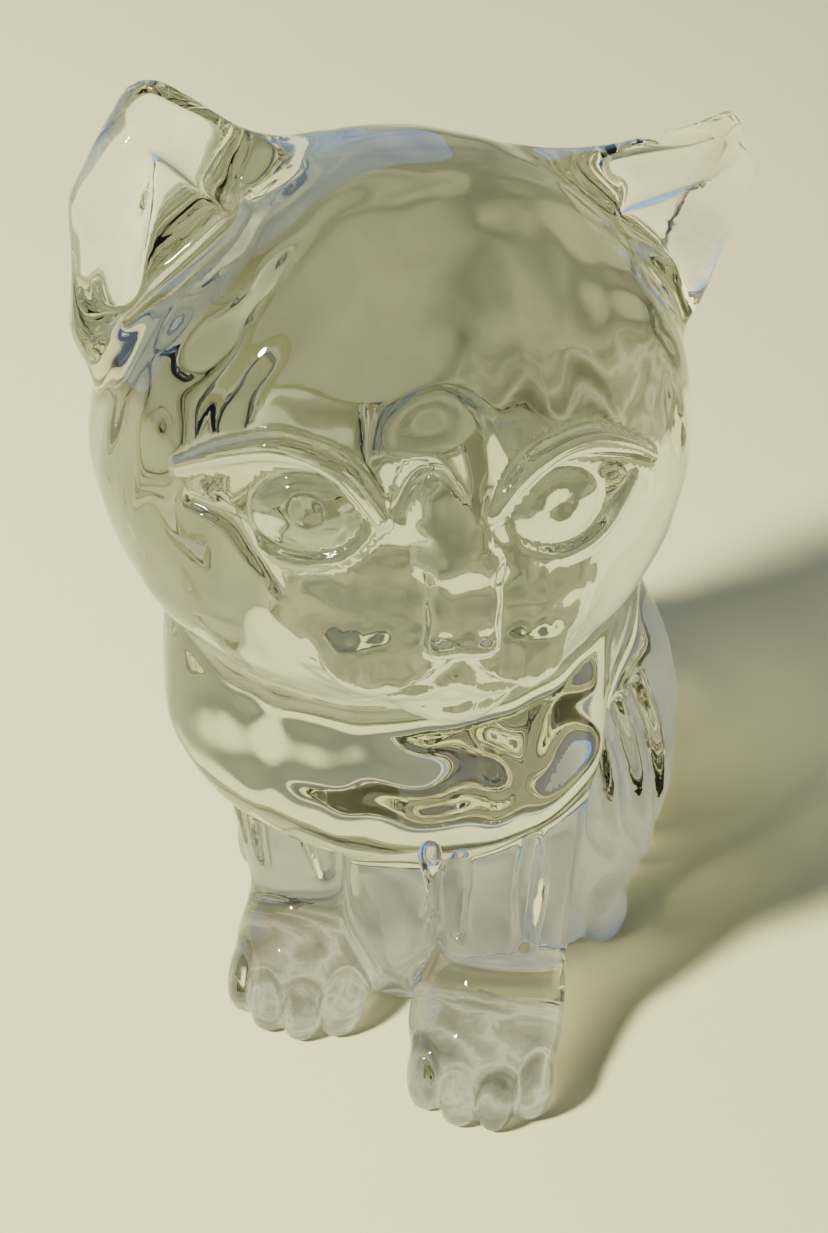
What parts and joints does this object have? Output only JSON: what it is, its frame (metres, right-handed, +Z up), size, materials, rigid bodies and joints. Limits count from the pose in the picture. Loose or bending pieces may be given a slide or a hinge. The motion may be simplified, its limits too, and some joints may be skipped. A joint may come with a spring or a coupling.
{
  "type": "crystal glass figurine",
  "caption": "Solid clear crystal figurine of a sitting kitten with its head turned and raised, standing on a flat ground base.",
  "frame": {"origin": "centre of the overall box on the plane the figurine stands on", "axes": "+Z up; the kitten's body faces -Y; +X is towards the kitten's own left side"},
  "size_m": [0.0502, 0.0678, 0.0853],
  "materials": {
    "crystal": "fire-polished clear lead crystal"
  },
  "bodies": {
    "root": {"head": "crystal", "ear_left": "crystal", "ear_right": "crystal", "torso": "crystal", "foreleg_left": "crystal", "foreleg_right": "crystal", "haunch_left": "crystal", "haunch_right": "crystal", "hind_paw_left": "crystal", "hind_paw_right": "crystal", "tail": "crystal"}
  },
  "joints": []
}
